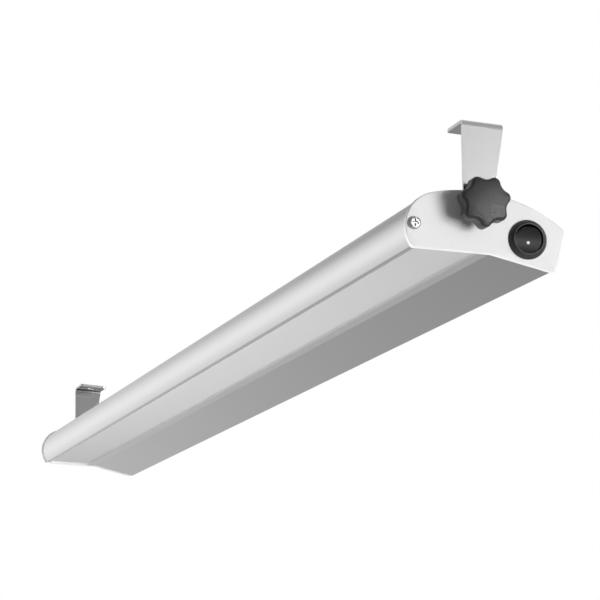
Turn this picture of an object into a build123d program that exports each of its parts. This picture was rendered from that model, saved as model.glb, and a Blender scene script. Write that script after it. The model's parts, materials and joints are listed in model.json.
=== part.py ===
from build123d import *
import math
import os

# A hanging LED work light: an aluminium extrusion with a round nose, an opal
# window along its front underside, white end caps and two steel hangers.
# The lamp lies along X with the switch at +X, its round nose faces -Y and +Z
# is up. The origin is midway between the two hanger holes, on the top faces
# of the hanger flanges, where they meet the shelf. Sizes are in millimetres.

# Lamp and its pivot line
lamp_length = 1200.0
axis_drop = 49.5
end_cap_thickness = 4.0
cap_reveal = 0.7
cap_edge = 0.8
rim_depth = 4.0
rim_wall = 1.4
rim_play = 0.3
rim_end_gap = 1.0
arch_rim_length = 26.0
rear_rim_length = 12.0
rear_rim_drop = 5.0
housing_length = lamp_length - 2 * end_cap_thickness
lamp_end = lamp_length / 2
housing_end = housing_length / 2

# Housing section, measured from the pivot line: Y to the rear and Z up
wall = 1.8
nose_radius = 19.6
nose_center_y = -20.7
arch_radius = 94.2
arch_crest = 8.7
rear_top_y = 53.0
lip_angle = 220.5
lip_corner_radius = 1.5
base_front_radius = 0.5
base_rear_radius = 1.5
rear_top_radius = 2.0
base_front = (11.2, -25.3)
base_rear = (49.4, -31.8)
shelf_bottom = -8.0
shelf_wall = 1.8
partition_front = 10.4
partition_wall = 1.6
web_wall = 3.0
boss_radius = 5.2

# Window along the underside
window_thickness = 2.0
slot_play = 0.15
slot_depth = 2.0
lip_thickness = 1.4
lip_root = 5.0
rail_thickness = 1.3
front_lip_width = 2.6
rear_land = 7.2
rear_lip_width = 4.0
window_end_gap = 0.3

# Cap screws and their ports
cap_screw_y = -36.0
cap_screw_z = -13.6
cap_screw_radius = 1.75
cap_screw_length = 16.0
cap_screw_head_radius = 3.7
cap_screw_head_height = 2.2
cap_screw_head_edge = 1.3
port_wall = 1.6
thread_play = 0.05
screw_hole_play = 0.45
recess_width = 1.1
recess_span = 4.4
recess_depth = 1.2
recess_taper = 8.0

# Clamp stack on each end: stud, washers, hanger and knob
stud_radius = 3.0
stud_seat_depth = 20.0
stud_point = 0.75
running_play = 0.08
clamp_gap = 0.05
friction_washer_radius = 9.0
friction_washer_thickness = 1.4
sheet = 2.0
bend_radius = 1.5
hanger_top_width = 24.4
hanger_square_height = 5.0
hanger_end_radius = 8.5
flange_depth = 29.5
flange_corner = 2.0
hanger_hole_radius = 4.0
hanger_hole_inset = 13.45
knob_washer_radius = 6.2
knob_washer_thickness = 1.6
knob_gap = 0.3

# Star knob
knob_lobes = 7
knob_radius = 15.0
knob_tip_radius = 3.6
knob_root_radius = 12.5
knob_turn = 16.0
knob_hub_radius = 8.0
knob_hub_height = 4.6
knob_head_height = 11.0
knob_dome_radius = 58.0
knob_edge = 2.2
insert_radius = 4.6
insert_length = 10.5
insert_groove_depth = 0.5
insert_groove_width = 1.6

# Round rocker switch in the right cap
switch_y = 31.8
switch_z = -15.4
switch_hole_radius = 10.0
switch_body_play = 0.12
switch_depth = 17.0
bezel_radius = 11.5
bezel_rim = 0.7
bezel_height = 3.2
bezel_arc_radius = 6.0
bezel_ring = 0.4
bezel_ring_height = 0.4
rocker_well_radius = 8.6
rocker_well_depth = 8.5
rocker_radius = 7.9
rocker_swing_radius = 8.25
rocker_axis_depth = 1.0
rocker_height = 4.0
rocker_skirt = 4.5
rocker_throw = 18.0
rocker_saddle_radius = 30.0
rocker_saddle_sag = 0.9
trunnion_radius = 1.0
trunnion_length = 1.4
trunnion_play = 0.08
lug_width = 4.0
lug_height = 0.7
lug_length = 4.5
tab_width = 4.8
tab_thickness = 0.8
tab_length = 8.0
switch_tab_pitch = 10.0
tab_seat = 2.0

# Mains inlet in the left cap, turned parallel to the base
inlet_width = 27.0
inlet_height = 19.8
inlet_depth = 20.0
inlet_corner = 2.5
inlet_flange_width = 31.0
inlet_flange_height = 23.6
inlet_flange_thickness = 2.0
inlet_play = 0.1
cavity_width = 24.0
cavity_height = 16.4
cavity_depth = 16.0
cavity_bevel = 3.6
pin_width = 2.0
pin_height = 4.0
pin_pitch = 14.0
pin_offset = 2.0
pin_reach = 14.0
inlet_tab_length = 7.0

# LED boards under the shelf
board_count = 3
board_gap = 4.0
board_end_gap = 6.0
board_width = 20.0
board_thickness = 1.6
board_center_y = -13.6
led_pitch = 15.0
leds_per_board = 26
led_length = 3.5
led_width = 2.8
led_height = 0.8
board_screws_each = 3
board_screw_radius = 1.5
board_screw_head_radius = 2.8
board_screw_head_height = 1.6
board_screw_tip = 1.2
board_screw_y = -6.5
link_length = 16.0
link_width = 6.0
link_height = 3.0

# LED driver in the rear chamber, on rails on the sloping base
driver_end_gap = 101.0
driver_length = 220.0
driver_width = 27.0
driver_height = 17.5
driver_shell = 1.2
driver_flange = 2.2
driver_flange_thickness = 1.5
driver_tray_height = 7.0
driver_from_base_front = 3.3
rail_play = 0.3
rail_lip = 1.8
rail_cover = 1.2
board_lift = 3.0
post_inset = 18.0
post_side_inset = 5.0
driver_board_margin = 1.0
driver_board_thickness = 1.6
part_gap = 0.3
core_length = 26.0
core_width = 19.0
core_height = 9.2
core_leg = 5.2
core_notch = 3.8
winding_width = 15.2
winding_height = 6.4
capacitor_radius = 4.4
capacitor_length = 20.0
capacitor_pitch = 24.0
capacitor_count = 3
capacitor_x = 52.0
transformer_x = -12.0
choke_x = -56.0
choke_radius = 7.5
choke_tube_radius = 2.4
post_radius = 1.8
terminal_pole_pitch = 5.0
terminal_depth = 10.0
terminal_height = 8.0
terminal_entry_radius = 1.6
terminal_entry_depth = 7.0
pad_length = 18.0
pad_width = 14.0
pad_height = 4.6
pad_shift = 3.0

# Wiring and its earth point
wire_radius = 1.1
wire_bend = 6.0
earth_bend = 3.3
led_bend = 2.4
wire_lead = 14.0
wire_seat = 5.0
led_wire_radius = 0.8
led_wire_lead = 6.0
led_pad_y = 5.0
led_pad_pitch = 3.0
led_wire_pitch = 2.2
live_run = (17.0, -0.5)
neutral_run = (21.5, -0.9)
earth_end_gap = 48.0
earth_z = -13.5
earth_screw_radius = 2.0
earth_screw_length = 7.0
earth_screw_head_radius = 3.6
earth_screw_head_height = 2.4
earth_tag_radius = 4.2
earth_tag_thickness = 0.8
earth_tag_reach = 10.0
grommet_gap = 20.0
grommet_z = -13.5
grommet_radius = 4.0
grommet_bore = 2.6
grommet_flange = 1.2

# Worked out from the sizes above
upper_shelf = shelf_bottom + shelf_wall
chamber_front = partition_front + partition_wall
arch_center_z = arch_crest - arch_radius
nose_center_z = arch_center_z + math.sqrt((arch_radius - nose_radius) ** 2 - nose_center_y**2)
tangent_angle = math.degrees(math.atan2(nose_center_z - arch_center_z, nose_center_y))
rear_top = (rear_top_y, arch_center_z + math.sqrt(arch_radius**2 - rear_top_y**2))
rear_top_angle = math.degrees(math.atan2(rear_top[1] - arch_center_z, rear_top_y))
lip_corner = (
    nose_center_y + nose_radius * math.cos(math.radians(lip_angle)),
    nose_center_z + nose_radius * math.sin(math.radians(lip_angle)),
)
window_slope = math.atan2(base_front[1] - lip_corner[1], base_front[0] - lip_corner[0])
window_opening = math.dist(lip_corner, base_front) - rear_land
base_slope = math.atan2(base_rear[1] - base_front[1], base_rear[0] - base_front[0])
base_length = math.dist(base_front, base_rear)
slot_height = window_thickness + 2 * slot_play
slot_floor = front_lip_width - slot_depth
plate_inside = lamp_end + friction_washer_thickness + clamp_gap
plate_outside = plate_inside + sheet
board_length = (housing_length - 2 * board_end_gap - (board_count - 1) * board_gap) / board_count
port_radius = cap_screw_radius + port_wall
knob_back = plate_outside + clamp_gap + knob_washer_thickness + knob_gap
knob_front = knob_back + knob_hub_height + knob_head_height
stud_end = knob_back + insert_length
pivot_axis = Axis((0, 0, -axis_drop), (1, 0, 0))
rest_side = -1
rail_height = wall + rail_play + driver_flange_thickness + rail_play
driver_x = housing_end - driver_end_gap - driver_length / 2
grommet_x = driver_x - driver_length / 2 - grommet_gap
earth_x = -housing_end + earth_end_gap
driver_start = driver_from_base_front
driver_end = driver_start + driver_width + 2 * driver_flange


def section_plane(x):
    """The lamp's section plane at x, with its origin on the pivot line."""
    return Plane(origin=(x, 0, -axis_drop), x_dir=(0, 1, 0), z_dir=(1, 0, 0))


def along(start, slope, forward, up):
    """A section point that lies forward along a slope and up from it."""
    return (
        start[0] + forward * math.cos(slope) - up * math.sin(slope),
        start[1] + forward * math.sin(slope) + up * math.cos(slope),
    )


def sloped_bar(start, slope, forward, up, length, height, mode=Mode.ADD):
    """A bar of the section, laid along a slope from its lower front corner."""
    middle = along(start, slope, forward + length / 2, up + height / 2)
    with Locations(Location((middle[0], middle[1], 0), math.degrees(slope))):
        Rectangle(length, height, mode=mode)


# Outline of the lamp's section: nose and arch are tangent arcs
with BuildSketch() as outline:
    with BuildLine():
        CenterArc((nose_center_y, nose_center_z), nose_radius, tangent_angle, lip_angle - tangent_angle)
        Polyline(lip_corner, base_front, base_rear, rear_top)
        CenterArc((0, arch_center_z), arch_radius, rear_top_angle, tangent_angle - rear_top_angle)
    make_face()
    for corner, radius in (
        (lip_corner, lip_corner_radius),
        (base_front, base_front_radius),
        (base_rear, base_rear_radius),
        (rear_top, rear_top_radius),
    ):
        fillet(outline.vertices().sort_by_distance((*corner, 0))[0], radius)

with BuildSketch() as cap_outline:
    add(outline.sketch)
    offset(amount=cap_reveal, kind=Kind.INTERSECTION, mode=Mode.REPLACE)

with BuildSketch() as hollow_outline:
    add(outline.sketch)
    offset(amount=-wall, kind=Kind.INTERSECTION, mode=Mode.REPLACE)

# Ribs of the extrusion: shelf, partition, stud boss, screw port, window lips
# and the rails that hold the driver
with BuildSketch() as section:
    add(outline.sketch)
    add(hollow_outline.sketch, mode=Mode.SUBTRACT)
    with Locations((0, shelf_bottom + shelf_wall / 2)):
        Rectangle(3 * nose_radius, shelf_wall, align=(Align.MAX, Align.CENTER))
        Rectangle(chamber_front, shelf_wall, align=(Align.MIN, Align.CENTER))
    with Locations((partition_front, upper_shelf)):
        Rectangle(partition_wall, upper_shelf - base_front[1], align=(Align.MIN, Align.MAX))
    with Locations((0, shelf_bottom)):
        Rectangle(web_wall, arch_crest - shelf_bottom, align=(Align.CENTER, Align.MIN))
    Circle(boss_radius)
    with Locations((cap_screw_y, cap_screw_z)):
        Circle(port_radius)
    lip_height = lip_thickness + slot_height + rail_thickness
    sloped_bar(lip_corner, window_slope, -lip_root, 0, front_lip_width + lip_root, lip_height)
    sloped_bar(lip_corner, window_slope, window_opening, 0, rear_lip_width, lip_height)
    front_rail = driver_start - rail_play - rail_lip
    rear_rail = driver_end + rail_play
    sloped_bar(base_front, base_slope, front_rail, 0, rail_lip, rail_height + rail_lip)
    sloped_bar(base_front, base_slope, front_rail, rail_height, rail_lip + rail_cover, rail_lip)
    sloped_bar(base_front, base_slope, rear_rail, 0, rail_lip + wall, rail_height + rail_lip)
    sloped_bar(base_front, base_slope, rear_rail - rail_cover, rail_height, rail_lip + rail_cover, rail_lip)
    add(outline.sketch, mode=Mode.INTERSECT)
    sloped_bar(
        lip_corner, window_slope, front_lip_width, -wall,
        window_opening - front_lip_width, wall + lip_height, Mode.SUBTRACT,
    )
    sloped_bar(
        lip_corner, window_slope, slot_floor, lip_thickness,
        window_opening - slot_floor + slot_depth, slot_height, Mode.SUBTRACT,
    )
    Circle(stud_radius + thread_play, mode=Mode.SUBTRACT)
    with Locations((cap_screw_y, cap_screw_z)):
        Circle(cap_screw_radius + thread_play, mode=Mode.SUBTRACT)


def led_board_center(index):
    """X of the middle of one LED board."""
    return (index - (board_count - 1) / 2) * (board_length + board_gap)


board_bottom = shelf_bottom - board_thickness
board_screw_spots = [
    (led_board_center(board) + spot * (board_length / 2 - link_length), board_center_y + board_screw_y)
    for board in range(board_count)
    for spot in (-1, 0, 1)
]


def level_plane(z):
    """A level plane, z above the pivot line."""
    return Plane.XY.offset(z - axis_drop)


def partition_plane():
    """The partition's rear face, seen from the driver chamber: local X is X, local Y is Z."""
    return Plane(origin=(0, chamber_front, -axis_drop), x_dir=(-1, 0, 0), z_dir=(0, 1, 0))


with BuildPart() as housing:
    with BuildSketch(section_plane(-housing_end)):
        add(section.sketch)
    extrude(amount=housing_length)
    with BuildSketch(level_plane(shelf_bottom)):
        with Locations(*board_screw_spots):
            Circle(board_screw_radius + thread_play)
    extrude(amount=shelf_wall, mode=Mode.SUBTRACT)
    with BuildSketch(partition_plane()):
        with Locations((-earth_x, earth_z)):
            Circle(earth_screw_radius + thread_play)
        with Locations((-grommet_x, grommet_z)):
            Circle(grommet_radius)
    extrude(amount=-partition_wall, mode=Mode.SUBTRACT)

# Window: one opal sheet in the slots of the front and rear lips
with BuildPart() as window:
    with BuildSketch(section_plane(-housing_end + window_end_gap)):
        sloped_bar(
            lip_corner, window_slope, slot_floor + window_end_gap, lip_thickness + slot_play,
            window_opening - slot_floor + slot_depth - 2 * window_end_gap, window_thickness,
        )
    extrude(amount=housing_length - 2 * window_end_gap)

# LED boards, one behind the other along the shelf
boards = []
for index in range(board_count):
    with BuildPart() as board:
        with BuildSketch(level_plane(board_bottom)):
            with Locations((led_board_center(index), board_center_y)):
                Rectangle(board_length, board_width)
            with Locations(*board_screw_spots):
                Circle(board_screw_radius + screw_hole_play, mode=Mode.SUBTRACT)
        extrude(amount=board_thickness)
    boards.append(board)

with BuildPart() as led_chips:
    with BuildSketch(level_plane(board_bottom)):
        for index in range(board_count):
            with Locations((led_board_center(index), board_center_y)):
                with GridLocations(led_pitch, 0, leds_per_board, 1):
                    Rectangle(led_width, led_length)
    extrude(amount=-led_height)

with BuildPart() as board_screws:
    with BuildSketch(level_plane(board_bottom)):
        with Locations(*board_screw_spots):
            Circle(board_screw_head_radius)
    extrude(amount=-board_screw_head_height)
    with BuildSketch(level_plane(board_bottom)):
        with Locations(*board_screw_spots):
            Circle(board_screw_radius)
    extrude(amount=board_thickness + shelf_wall + board_screw_tip)

with BuildPart() as board_links:
    with BuildSketch(level_plane(board_bottom)):
        for index in range(board_count - 1):
            middle = (led_board_center(index) + led_board_center(index + 1)) / 2
            with Locations((middle, board_center_y - board_screw_y)):
                Rectangle(link_length, link_width)
    extrude(amount=-link_height)

# Locating rim of an end cap: short stretches along the nose, arch and rear wall
with BuildSketch() as rim:
    add(hollow_outline.sketch)
    offset(amount=-rim_play, kind=Kind.INTERSECTION, mode=Mode.REPLACE)
    offset(amount=-rim_wall, kind=Kind.INTERSECTION, mode=Mode.SUBTRACT)
    with BuildSketch(mode=Mode.PRIVATE) as stretches:
        with Locations((-boss_radius - rim_end_gap, upper_shelf + rim_end_gap)):
            Rectangle(2 * nose_radius, arch_crest, align=(Align.MAX, Align.MIN))
        with Locations((chamber_front + rim_end_gap, upper_shelf)):
            Rectangle(arch_rim_length, arch_crest - upper_shelf, align=(Align.MIN, Align.MIN))
        with Locations((rear_top_y, rear_top[1] - rear_rim_drop)):
            Rectangle(2 * (rim_wall + wall), rear_rim_length, align=(Align.CENTER, Align.MAX))
    add(stretches.sketch, mode=Mode.INTERSECT)


def end_cap(side):
    """A white end cap: a plate with a rounded edge and a rim that locates in the housing."""
    with BuildPart() as cap:
        with BuildSketch(section_plane(side * housing_end)):
            add(cap_outline.sketch)
        extrude(amount=side * end_cap_thickness)
        outer_face = cap.faces().sort_by(Axis.X)[-1 if side > 0 else 0]
        fillet(outer_face.edges(), cap_edge)
        with BuildSketch(section_plane(side * housing_end)):
            add(rim.sketch)
        extrude(amount=-side * rim_depth)
        with BuildSketch(section_plane(side * lamp_end)):
            Circle(stud_radius + running_play)
            with Locations((cap_screw_y, cap_screw_z)):
                Circle(cap_screw_radius + screw_hole_play)
            if side > 0:
                with Locations((switch_y, switch_z)):
                    Circle(switch_hole_radius)
            else:
                with Locations(Location((switch_y, switch_z, 0), math.degrees(base_slope))):
                    RectangleRounded(
                        inlet_width + 2 * inlet_play, inlet_height + 2 * inlet_play, inlet_corner
                    )
        extrude(amount=-side * end_cap_thickness, mode=Mode.SUBTRACT)
    return cap


def cross_recess(plane):
    """The cross-shaped drive recess of a screw, cut down from a plane."""
    with BuildSketch(plane) as recess:
        Rectangle(recess_span, recess_width)
        Rectangle(recess_width, recess_span)
    extrude(recess.sketch, amount=-recess_depth, taper=recess_taper, mode=Mode.SUBTRACT)


# Cap screws: pan heads on the caps, driven into the nose port from both ends
with BuildPart() as cap_screws:
    for side in (-1, 1):
        head_plane = Plane(
            origin=(side * lamp_end, cap_screw_y, cap_screw_z - axis_drop),
            x_dir=(0, 1, 0),
            z_dir=(side, 0, 0),
        )
        with BuildSketch(head_plane):
            Circle(cap_screw_head_radius)
        head = extrude(amount=cap_screw_head_height)
        fillet(head.faces().sort_by(Axis.X)[-1 if side > 0 else 0].edges(), cap_screw_head_edge)
        with BuildSketch(head_plane):
            Circle(cap_screw_radius)
        extrude(amount=-cap_screw_length)
        cross_recess(head_plane.offset(cap_screw_head_height))


def stud(side):
    """A clamp stud, screwed into the boss of the housing."""
    with BuildPart() as part:
        with BuildSketch(section_plane(side * (housing_end - stud_seat_depth))):
            Circle(stud_radius)
        extrude(amount=side * (stud_end - housing_end + stud_seat_depth))
        chamfer(part.edges().sort_by(Axis.X)[-1 if side > 0 else 0], stud_point)
    return part


def washer(side, start, outer_radius, thickness):
    """A plain washer on the stud, standing outward from start."""
    with BuildPart() as part:
        with BuildSketch(section_plane(side * start)):
            Circle(outer_radius)
            Circle(stud_radius + running_play, mode=Mode.SUBTRACT)
        extrude(amount=side * thickness)
    return part


def hanger(side):
    """A folded steel hanger: a plate tapering down to a round end, and a flange over the lamp."""
    with BuildPart() as part:
        with BuildSketch(Plane.XZ) as fold:
            Polygon(
                (side * plate_outside, -axis_drop - hanger_end_radius),
                (side * plate_outside, 0),
                (side * (plate_outside - flange_depth), 0),
                (side * (plate_outside - flange_depth), -sheet),
                (side * plate_inside, -sheet),
                (side * plate_inside, -axis_drop - hanger_end_radius),
                align=None,
            )
            fillet(fold.vertices().sort_by_distance((side * plate_outside, 0))[0], bend_radius + sheet)
            fillet(fold.vertices().sort_by_distance((side * plate_inside, -sheet))[0], bend_radius)
        extrude(amount=hanger_top_width / 2, both=True)
        with BuildSketch(section_plane(side * plate_outside)):
            Circle(hanger_end_radius)
            with Locations((0, axis_drop)):
                Rectangle(hanger_top_width, hanger_square_height, align=(Align.CENTER, Align.MAX))
            make_hull()
        extrude(amount=-side * flange_depth, mode=Mode.INTERSECT)
        free_edge = part.edges().filter_by(Axis.Z).sort_by(Axis.X)
        fillet(free_edge[:2] if side > 0 else free_edge[-2:], flange_corner)
        with BuildSketch(section_plane(side * plate_outside)):
            Circle(stud_radius + running_play)
        extrude(amount=-side * sheet, mode=Mode.SUBTRACT)
        with BuildSketch(Plane.XY):
            with Locations((side * (plate_outside - hanger_hole_inset), 0)):
                Circle(hanger_hole_radius)
        extrude(amount=-sheet, mode=Mode.SUBTRACT)
    return part


def polar(center, radius, angle):
    """A point at a radius and an angle in degrees from a centre."""
    turn = math.radians(angle)
    return (center[0] + radius * math.cos(turn), center[1] + radius * math.sin(turn))


def star_outline():
    """Lobes and hollows of the knob as arcs that meet in tangents."""
    pitch = 360 / knob_lobes
    reach = knob_radius - knob_tip_radius
    spread = math.cos(math.radians(pitch / 2))
    hollow_radius = (
        (knob_tip_radius**2 - reach**2 - knob_root_radius**2 + 2 * reach * knob_root_radius * spread)
        / (2 * (knob_root_radius - reach * spread - knob_tip_radius))
    )
    share = knob_tip_radius / (knob_tip_radius + hollow_radius)
    with BuildLine() as star:
        for lobe in range(knob_lobes):
            angle = knob_turn + lobe * pitch
            tip = polar((0, 0), reach, angle)
            joints = []
            for hollow_angle in (angle - pitch / 2, angle + pitch / 2):
                hollow = polar((0, 0), knob_root_radius + hollow_radius, hollow_angle)
                joints.append(tuple(t + share * (h - t) for t, h in zip(tip, hollow)))
            ThreePointArc(joints[0], polar((0, 0), knob_radius, angle), joints[1])
            next_tip = polar((0, 0), reach, angle + pitch)
            hollow = polar((0, 0), knob_root_radius + hollow_radius, angle + pitch / 2)
            next_joint = tuple(t + share * (h - t) for t, h in zip(next_tip, hollow))
            ThreePointArc(joints[1], polar((0, 0), knob_root_radius, angle + pitch / 2), next_joint)
    make_face(star.edges())


def knob(side):
    """A moulded star knob with a round hub, a domed face and a pocket for its insert."""
    with BuildPart() as part:
        with BuildSketch(section_plane(side * (knob_back + knob_hub_height))):
            star_outline()
        extrude(amount=side * knob_head_height)
        with BuildSketch(Plane.XZ):
            with Locations((side * (knob_front - knob_dome_radius), -axis_drop)):
                Circle(knob_dome_radius)
                Rectangle(
                    2 * knob_dome_radius, knob_dome_radius,
                    align=(Align.CENTER, Align.MAX), mode=Mode.SUBTRACT,
                )
        revolve(axis=pivot_axis, mode=Mode.INTERSECT)
        face = part.faces().sort_by(Axis.X)[-1 if side > 0 else 0]
        fillet(face.edges(), knob_edge)
        with BuildSketch(section_plane(side * knob_back)):
            Circle(knob_hub_radius)
        extrude(amount=side * knob_hub_height)
        with BuildSketch(section_plane(side * knob_back)):
            Circle(insert_radius)
        extrude(amount=side * insert_length, mode=Mode.SUBTRACT)
    return part


def knob_insert(side):
    """The threaded brass insert of a knob, grooved so that the moulding grips it."""
    with BuildPart() as part:
        with BuildSketch(section_plane(side * knob_back)):
            Circle(insert_radius)
            Circle(stud_radius + running_play, mode=Mode.SUBTRACT)
        extrude(amount=side * insert_length)
        with BuildSketch(section_plane(side * (knob_back + (insert_length - insert_groove_width) / 2))):
            Circle(insert_radius)
            Circle(insert_radius - insert_groove_depth, mode=Mode.SUBTRACT)
        extrude(amount=side * insert_groove_width, mode=Mode.SUBTRACT)
    return part


def switch_plane(x):
    """A plane across the switch, x outward from the right cap's face."""
    return Plane(origin=(lamp_end + x, switch_y, switch_z - axis_drop), x_dir=(0, 1, 0), z_dir=(1, 0, 0))


def switch_side_plane():
    """A plane through the switch's axis: local X is outward from the cap's face."""
    return Plane(origin=(lamp_end, switch_y, switch_z - axis_drop), x_dir=(1, 0, 0), z_dir=(0, 0, 1))


switch_axis = Axis((lamp_end, switch_y, switch_z - axis_drop), (1, 0, 0))

# Switch body: a barrel with a rounded bezel, a well for the rocker and two snap lugs
with BuildPart() as switch_body:
    barrel_radius = switch_hole_radius - switch_body_play
    with BuildSketch(switch_plane(-switch_depth)):
        Circle(barrel_radius)
    extrude(amount=switch_depth)
    ring_radius = rocker_well_radius + bezel_ring
    with BuildSketch(switch_side_plane()):
        with BuildLine():
            Polyline(
                (bezel_height, ring_radius), (bezel_height + bezel_ring_height, ring_radius),
                (bezel_height + bezel_ring_height, 0), (0, 0), (0, bezel_radius), (bezel_rim, bezel_radius),
            )
            RadiusArc(
                (bezel_rim, bezel_radius), (bezel_height, ring_radius), bezel_arc_radius
            )
        make_face()
    revolve(axis=switch_axis)
    with BuildSketch(switch_plane(-end_cap_thickness - part_gap - lug_length)):
        Rectangle(2 * (barrel_radius + lug_height), lug_width)
    extrude(amount=lug_length)
    with BuildSketch(switch_plane(bezel_height + bezel_ring_height)):
        Circle(rocker_well_radius)
    extrude(amount=-(bezel_height + bezel_ring_height + rocker_well_depth), mode=Mode.SUBTRACT)
    with BuildSketch(Plane.XZ.offset(-switch_y)):
        with Locations((lamp_end - rocker_axis_depth, switch_z - axis_drop)):
            Circle(trunnion_radius + trunnion_play)
    extrude(amount=rocker_radius + trunnion_length + trunnion_play, both=True, mode=Mode.SUBTRACT)
    with BuildSketch(switch_plane(-switch_depth)):
        with GridLocations(0, switch_tab_pitch, 1, 2):
            Rectangle(tab_width, tab_thickness)
    extrude(amount=tab_seat, mode=Mode.SUBTRACT)

# Rocker: a disc with round ends and a hollowed face, tipped to one of its two throws
rest_tip = math.radians(rocker_throw / 2)
rocker_axis_x = lamp_end - rocker_axis_depth
rocker_center = (rocker_axis_x, switch_z - axis_drop)


def rocker_plane(height):
    """A plane across the tipped rocker, height above its axis."""
    outward = (math.cos(rest_tip), 0, rest_side * math.sin(rest_tip))
    origin = tuple(c + height * o for c, o in zip((rocker_axis_x, switch_y, switch_z - axis_drop), outward))
    return Plane(origin=origin, x_dir=(0, 1, 0), z_dir=outward)


with BuildPart() as rocker:
    with BuildSketch(rocker_plane(-rocker_skirt)):
        Circle(rocker_radius)
    extrude(amount=rocker_skirt + rocker_height)
    with BuildSketch(Plane.XZ.offset(-switch_y)):
        with Locations(rocker_center):
            Circle(rocker_swing_radius)
    extrude(amount=rocker_radius, both=True, mode=Mode.INTERSECT)
    saddle_height = rocker_height - rocker_saddle_sag + rocker_saddle_radius
    with BuildSketch(Plane.XZ.offset(-switch_y)):
        with Locations(polar(rocker_center, saddle_height, rest_side * math.degrees(rest_tip))):
            Circle(rocker_saddle_radius)
    extrude(amount=2 * rocker_radius, both=True, mode=Mode.SUBTRACT)
    with BuildSketch(Plane.XZ.offset(-switch_y)):
        with Locations(rocker_center):
            Circle(trunnion_radius)
    extrude(amount=rocker_radius + trunnion_length, both=True)

with BuildPart() as switch_tabs:
    with BuildSketch(switch_plane(-switch_depth + tab_seat)):
        with GridLocations(0, switch_tab_pitch, 1, 2):
            Rectangle(tab_width, tab_thickness)
    extrude(amount=-(tab_seat + tab_length))


def inlet_plane(x):
    """A plane across the inlet, x outward from the left cap's face, turned parallel to the base."""
    return Plane(
        origin=(-lamp_end - x, switch_y, switch_z - axis_drop),
        x_dir=(0, math.cos(base_slope), math.sin(base_slope)),
        z_dir=(1, 0, 0),
    )


pin_spots = ((-pin_pitch / 2, -pin_offset), (pin_pitch / 2, -pin_offset), (0, pin_offset))

# Inlet body: a flanged moulding that snaps into the cap, with a bevelled socket
with BuildPart() as inlet_body:
    with BuildSketch(inlet_plane(0)):
        RectangleRounded(inlet_width, inlet_height, inlet_corner)
    extrude(amount=inlet_depth)
    with BuildSketch(inlet_plane(0)):
        RectangleRounded(inlet_flange_width, inlet_flange_height, inlet_corner)
    extrude(amount=-inlet_flange_thickness)
    fillet(inlet_body.faces().sort_by(Axis.X)[0].edges(), inlet_flange_thickness / 2)
    with BuildSketch(inlet_plane(-end_cap_thickness - part_gap)):
        Rectangle(inlet_width + 2 * lug_height, lug_width)
    extrude(amount=lug_length)
    with BuildSketch(inlet_plane(inlet_flange_thickness)) as socket:
        Rectangle(cavity_width, cavity_height)
        chamfer(socket.vertices().group_by(Axis.Y)[-1], cavity_bevel)
    extrude(amount=cavity_depth, mode=Mode.SUBTRACT)
    with BuildSketch(inlet_plane(-inlet_depth)):
        with Locations(*pin_spots):
            Rectangle(pin_width, pin_height)
    extrude(amount=-inlet_depth, mode=Mode.SUBTRACT)

# Inlet pins: three blades that go through the floor of the socket and end in tabs
with BuildPart() as inlet_pins:
    with BuildSketch(inlet_plane(-inlet_depth)):
        with Locations(*pin_spots):
            Rectangle(pin_width, pin_height)
    pin_base = inlet_depth + inlet_flange_thickness - cavity_depth
    extrude(amount=-(pin_base + pin_reach))
    with BuildSketch(inlet_plane(-inlet_depth)):
        with Locations(*pin_spots):
            Rectangle(tab_thickness, pin_height)
    extrude(amount=inlet_tab_length)


def driver_plane(height):
    """A plane parallel to the base, height above it: local X is X and local Y runs to the rear."""
    middle = along(base_front, base_slope, (driver_start + driver_end) / 2, wall + rail_play + height)
    return Plane(
        origin=(driver_x, middle[0], middle[1] - axis_drop),
        x_dir=(1, 0, 0),
        z_dir=(0, -math.sin(base_slope), math.cos(base_slope)),
    )


tray_floor = driver_flange_thickness
driver_board_level = tray_floor + board_lift
driver_board_top = driver_board_level + driver_board_thickness
inner_length = driver_length - 2 * driver_shell
inner_width = driver_width - 2 * driver_shell
driver_board_length = inner_length - 2 * driver_board_margin
driver_board_width = inner_width - 2 * driver_board_margin
terminal_x = driver_length / 2 - driver_shell - part_gap - terminal_depth / 2
input_poles = 3
output_poles = 2


def terminal_windows():
    """Openings in the driver's end walls for the faces of both terminals."""
    for end, poles in ((1, input_poles), (-1, output_poles)):
        with Locations((end * driver_length / 2, 0)):
            Rectangle(4 * driver_shell, poles * terminal_pole_pitch)


# Driver: a tray that slides under the rails, a lid, a board and its parts
with BuildPart() as driver_tray:
    with BuildSketch(driver_plane(0)):
        Rectangle(driver_length, driver_width + 2 * driver_flange)
    extrude(amount=tray_floor)
    with BuildSketch(driver_plane(0)):
        Rectangle(driver_length, driver_width)
    extrude(amount=driver_tray_height)
    with BuildSketch(driver_plane(tray_floor)):
        Rectangle(inner_length, inner_width)
    extrude(amount=driver_tray_height, mode=Mode.SUBTRACT)
    with BuildSketch(driver_plane(tray_floor)):
        with GridLocations(driver_length - 2 * post_inset, driver_width - 2 * post_side_inset, 2, 2):
            Circle(post_radius)
    extrude(amount=board_lift)
    with BuildSketch(driver_plane(driver_board_top)):
        terminal_windows()
    extrude(amount=driver_tray_height, mode=Mode.SUBTRACT)

with BuildPart() as driver_lid:
    with BuildSketch(driver_plane(driver_tray_height)):
        Rectangle(driver_length, driver_width)
    extrude(amount=driver_height - driver_tray_height)
    fillet(driver_lid.faces().sort_by(Axis.Z)[-1].edges().filter_by(Axis.X), driver_shell)
    with BuildSketch(driver_plane(driver_tray_height)):
        Rectangle(inner_length, inner_width)
    extrude(amount=driver_height - driver_tray_height - driver_shell, mode=Mode.SUBTRACT)
    with BuildSketch(driver_plane(driver_tray_height)):
        terminal_windows()
    extrude(amount=driver_board_top + terminal_height - driver_tray_height, mode=Mode.SUBTRACT)

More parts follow.
